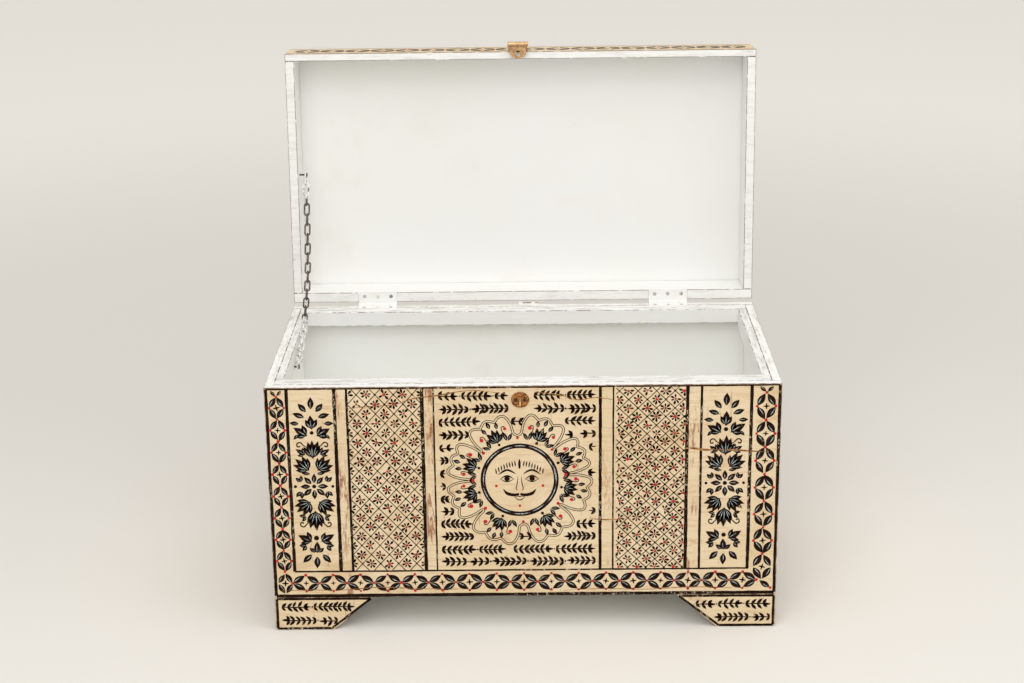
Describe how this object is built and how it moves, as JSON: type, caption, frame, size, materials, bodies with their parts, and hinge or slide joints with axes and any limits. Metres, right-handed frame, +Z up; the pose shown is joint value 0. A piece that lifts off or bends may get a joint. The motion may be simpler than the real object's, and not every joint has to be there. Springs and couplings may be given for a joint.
{
  "type": "damchiya chest",
  "caption": "Painted wooden storage chest on bracket feet, with a hinged lid held by a link chain and closed by a hasp, catch plate and staple.",
  "frame": {"origin": "on the floor, in the middle of the box around the chest with its lid open", "axes": "+X to the right along the front, +Y to the back, +Z up"},
  "size_m": [0.9, 0.6378, 0.9762],
  "materials": {
    "painted_front": "cream painted wood with black painted ornament, worn",
    "painted_wood": "off-white painted wood with worn edges",
    "painted_steel": "steel hinge painted over in white",
    "pin_steel": "plain aged steel",
    "chain_steel": "dark aged steel with white paint on both ends",
    "dark_iron": "dark iron nails",
    "aged_brass": "aged brass"
  },
  "bodies": {
    "chest": {"front_board": "painted_front", "back_board": "painted_wood", "left_board": "painted_wood", "right_board": "painted_wood", "floor_board": "painted_wood", "front_rim_batten": "painted_wood", "back_rim_batten": "painted_wood", "left_rim_batten": "painted_wood", "right_rim_batten": "painted_wood", "foot_front_left": "painted_front", "foot_front_right": "painted_front", "foot_back_left": "painted_wood", "foot_back_right": "painted_wood", "left_hinge_box_leaf": "painted_steel", "right_hinge_box_leaf": "painted_steel", "left_hinge_pin": "pin_steel", "right_hinge_pin": "pin_steel", "hinge_screws_box": "painted_steel", "lid_stop_block": "painted_wood", "catch_plate": "aged_brass", "catch_staple": "aged_brass", "box_nails": "dark_iron", "chain_nail_box": "dark_iron"},
    "lid": {"lid_panel_board": "painted_wood", "lid_front_rail": "painted_wood", "lid_back_rail": "painted_wood", "lid_left_rail": "painted_wood", "lid_right_rail": "painted_wood", "left_hinge_lid_leaf": "painted_steel", "right_hinge_lid_leaf": "painted_steel", "hinge_screws_lid": "painted_steel", "lid_nails": "dark_iron", "chain_nail_lid": "dark_iron", "hasp_leaf": "aged_brass"},
    "hasp_pin": {"hasp_pin": "aged_brass"},
    "hasp_flap": {"hasp_flap": "aged_brass"},
    "chain_link_01": {"chain_link_01": "chain_steel"},
    "chain_link_02": {"chain_link_02": "chain_steel"},
    "chain_link_03": {"chain_link_03": "chain_steel"},
    "chain_link_04": {"chain_link_04": "chain_steel"},
    "chain_link_05": {"chain_link_05": "chain_steel"},
    "chain_link_06": {"chain_link_06": "chain_steel"},
    "chain_link_07": {"chain_link_07": "chain_steel"},
    "chain_link_08": {"chain_link_08": "chain_steel"},
    "chain_link_09": {"chain_link_09": "chain_steel"},
    "chain_link_10": {"chain_link_10": "chain_steel"},
    "chain_link_11": {"chain_link_11": "chain_steel"},
    "chain_link_12": {"chain_link_12": "chain_steel"},
    "chain_link_13": {"chain_link_13": "chain_steel"},
    "chain_link_14": {"chain_link_14": "chain_steel"},
    "chain_link_15": {"chain_link_15": "chain_steel"},
    "chain_link_16": {"chain_link_16": "chain_steel"},
    "chain_link_17": {"chain_link_17": "chain_steel"},
    "chain_link_18": {"chain_link_18": "chain_steel"},
    "chain_link_19": {"chain_link_19": "chain_steel"},
    "chain_link_20": {"chain_link_20": "chain_steel"},
    "chain_link_21": {"chain_link_21": "chain_steel"},
    "chain_link_22": {"chain_link_22": "chain_steel"},
    "chain_link_23": {"chain_link_23": "chain_steel"}
  },
  "joints": [
    {"name": "lid_hinge", "type": "hinge", "parent": "chest", "child": "lid", "pos_m": [0, 0.18798, 0.4645], "axis": [1, 0, 0], "range_deg": [0, 94]},
    {"name": "hasp_pin_turn", "type": "hinge", "parent": "lid", "child": "hasp_pin", "pos_m": [-0.0045, 0.21091, 0.97164], "axis": [1, 0, 0], "range_deg": [-95, 1]},
    {"name": "hasp_fold", "type": "hinge", "parent": "hasp_pin", "child": "hasp_flap", "pos_m": [-0.0045, 0.21091, 0.97164], "axis": [-1, 0, 0], "range_deg": [-21, 120]},
    {"name": "link_01_turn", "type": "hinge", "parent": "chest", "child": "chain_link_01", "pos_m": [-0.4134, -0.09802, 0.434], "axis": [1, 0, 0], "range_deg": [-69.6, 1]},
    {"name": "link_02_turn", "type": "hinge", "parent": "chain_link_01", "child": "chain_link_02", "pos_m": [-0.4134, -0.08164, 0.43673], "axis": [1, 0, 0], "range_deg": [-1, 9.8]},
    {"name": "link_03_turn", "type": "hinge", "parent": "chain_link_02", "child": "chain_link_03", "pos_m": [-0.4134, -0.05858, 0.44175], "axis": [1, 0, 0], "range_deg": [-1, 9.95]},
    {"name": "link_04_turn", "type": "hinge", "parent": "chain_link_03", "child": "chain_link_04", "pos_m": [-0.4134, -0.04256, 0.44608], "axis": [1, 0, 0], "range_deg": [-1, 10.11]},
    {"name": "link_05_turn", "type": "hinge", "parent": "chain_link_04", "child": "chain_link_05", "pos_m": [-0.4134, -0.02011, 0.45336], "axis": [1, 0, 0], "range_deg": [-1, 10.28]},
    {"name": "link_06_turn", "type": "hinge", "parent": "chain_link_05", "child": "chain_link_06", "pos_m": [-0.4134, -0.00459, 0.45925], "axis": [1, 0, 0], "range_deg": [-1, 10.46]},
    {"name": "link_07_turn", "type": "hinge", "parent": "chain_link_06", "child": "chain_link_07", "pos_m": [-0.4134, 0.01704, 0.4687], "axis": [1, 0, 0], "range_deg": [-1, 10.65]},
    {"name": "link_08_turn", "type": "hinge", "parent": "chain_link_07", "child": "chain_link_08", "pos_m": [-0.4134, 0.0319, 0.47609], "axis": [1, 0, 0], "range_deg": [-1, 10.84]},
    {"name": "link_09_turn", "type": "hinge", "parent": "chain_link_08", "child": "chain_link_09", "pos_m": [-0.4134, 0.05248, 0.48763], "axis": [1, 0, 0], "range_deg": [-1, 11.05]},
    {"name": "link_10_turn", "type": "hinge", "parent": "chain_link_09", "child": "chain_link_10", "pos_m": [-0.4134, 0.06655, 0.49646], "axis": [1, 0, 0], "range_deg": [-1, 11.27]},
    {"name": "link_11_turn", "type": "hinge", "parent": "chain_link_10", "child": "chain_link_11", "pos_m": [-0.4134, 0.08589, 0.50997], "axis": [1, 0, 0], "range_deg": [-1, 11.5]},
    {"name": "link_12_turn", "type": "hinge", "parent": "chain_link_11", "child": "chain_link_12", "pos_m": [-0.4134, 0.09902, 0.52014], "axis": [1, 0, 0], "range_deg": [-1, 11.74]},
    {"name": "link_13_turn", "type": "hinge", "parent": "chain_link_12", "child": "chain_link_13", "pos_m": [-0.4134, 0.11693, 0.5355], "axis": [1, 0, 0], "range_deg": [-1, 11.98]},
    {"name": "link_14_turn", "type": "hinge", "parent": "chain_link_15", "child": "chain_link_14", "pos_m": [-0.41418, 0.14531, 0.56396], "axis": [1, 0, 0], "range_deg": [-12.51, 1]},
    {"name": "link_15_turn", "type": "hinge", "parent": "chain_link_16", "child": "chain_link_15", "pos_m": [-0.41496, 0.15618, 0.57651], "axis": [1, 0, 0], "range_deg": [-12.78, 1]},
    {"name": "link_16_turn", "type": "hinge", "parent": "chain_link_17", "child": "chain_link_16", "pos_m": [-0.41574, 0.17073, 0.59508], "axis": [1, 0, 0], "range_deg": [-13.07, 1]},
    {"name": "link_17_turn", "type": "hinge", "parent": "chain_link_18", "child": "chain_link_17", "pos_m": [-0.41652, 0.18031, 0.60864], "axis": [1, 0, 0], "range_deg": [-13.37, 1]},
    {"name": "link_18_turn", "type": "hinge", "parent": "chain_link_19", "child": "chain_link_18", "pos_m": [-0.4173, 0.19296, 0.62856], "axis": [1, 0, 0], "range_deg": [-13.67, 1]},
    {"name": "link_19_turn", "type": "hinge", "parent": "chain_link_20", "child": "chain_link_19", "pos_m": [-0.41808, 0.20116, 0.643], "axis": [1, 0, 0], "range_deg": [-13.99, 1]},
    {"name": "link_20_turn", "type": "hinge", "parent": "chain_link_21", "child": "chain_link_20", "pos_m": [-0.41886, 0.21178, 0.66407], "axis": [1, 0, 0], "range_deg": [-14.32, 1]},
    {"name": "link_21_turn", "type": "hinge", "parent": "chain_link_22", "child": "chain_link_21", "pos_m": [-0.41964, 0.21851, 0.67925], "axis": [1, 0, 0], "range_deg": [-14.65, 1]},
    {"name": "link_22_turn", "type": "hinge", "parent": "chain_link_23", "child": "chain_link_22", "pos_m": [-0.42042, 0.227, 0.70127], "axis": [1, 0, 0], "range_deg": [-15, 1]},
    {"name": "link_23_turn", "type": "hinge", "parent": "lid", "child": "chain_link_23", "pos_m": [-0.4212, 0.23221, 0.71703], "axis": [1, 0, 0], "range_deg": [-1, 81.61]}
  ],
  "couplings": [
    {"joint": "hasp_pin_turn", "follows": "lid_hinge", "ratio": -1},
    {"joint": "link_01_turn", "follows": "lid_hinge", "ratio": -0.7298},
    {"joint": "link_02_turn", "follows": "lid_hinge", "ratio": 0.09361},
    {"joint": "link_03_turn", "follows": "lid_hinge", "ratio": 0.0952},
    {"joint": "link_04_turn", "follows": "lid_hinge", "ratio": 0.09689},
    {"joint": "link_05_turn", "follows": "lid_hinge", "ratio": 0.09869},
    {"joint": "link_06_turn", "follows": "lid_hinge", "ratio": 0.1006},
    {"joint": "link_07_turn", "follows": "lid_hinge", "ratio": 0.10261},
    {"joint": "link_08_turn", "follows": "lid_hinge", "ratio": 0.10472},
    {"joint": "link_09_turn", "follows": "lid_hinge", "ratio": 0.10694},
    {"joint": "link_10_turn", "follows": "lid_hinge", "ratio": 0.10926},
    {"joint": "link_11_turn", "follows": "lid_hinge", "ratio": 0.11168},
    {"joint": "link_12_turn", "follows": "lid_hinge", "ratio": 0.11421},
    {"joint": "link_13_turn", "follows": "lid_hinge", "ratio": 0.11684},
    {"joint": "link_14_turn", "follows": "lid_hinge", "ratio": -0.12242},
    {"joint": "link_15_turn", "follows": "lid_hinge", "ratio": -0.12537},
    {"joint": "link_16_turn", "follows": "lid_hinge", "ratio": -0.12842},
    {"joint": "link_17_turn", "follows": "lid_hinge", "ratio": -0.13157},
    {"joint": "link_18_turn", "follows": "lid_hinge", "ratio": -0.13483},
    {"joint": "link_19_turn", "follows": "lid_hinge", "ratio": -0.13819},
    {"joint": "link_20_turn", "follows": "lid_hinge", "ratio": -0.14166},
    {"joint": "link_21_turn", "follows": "lid_hinge", "ratio": -0.14523},
    {"joint": "link_22_turn", "follows": "lid_hinge", "ratio": -0.1489},
    {"joint": "link_23_turn", "follows": "lid_hinge", "ratio": 0.8576}
  ]
}
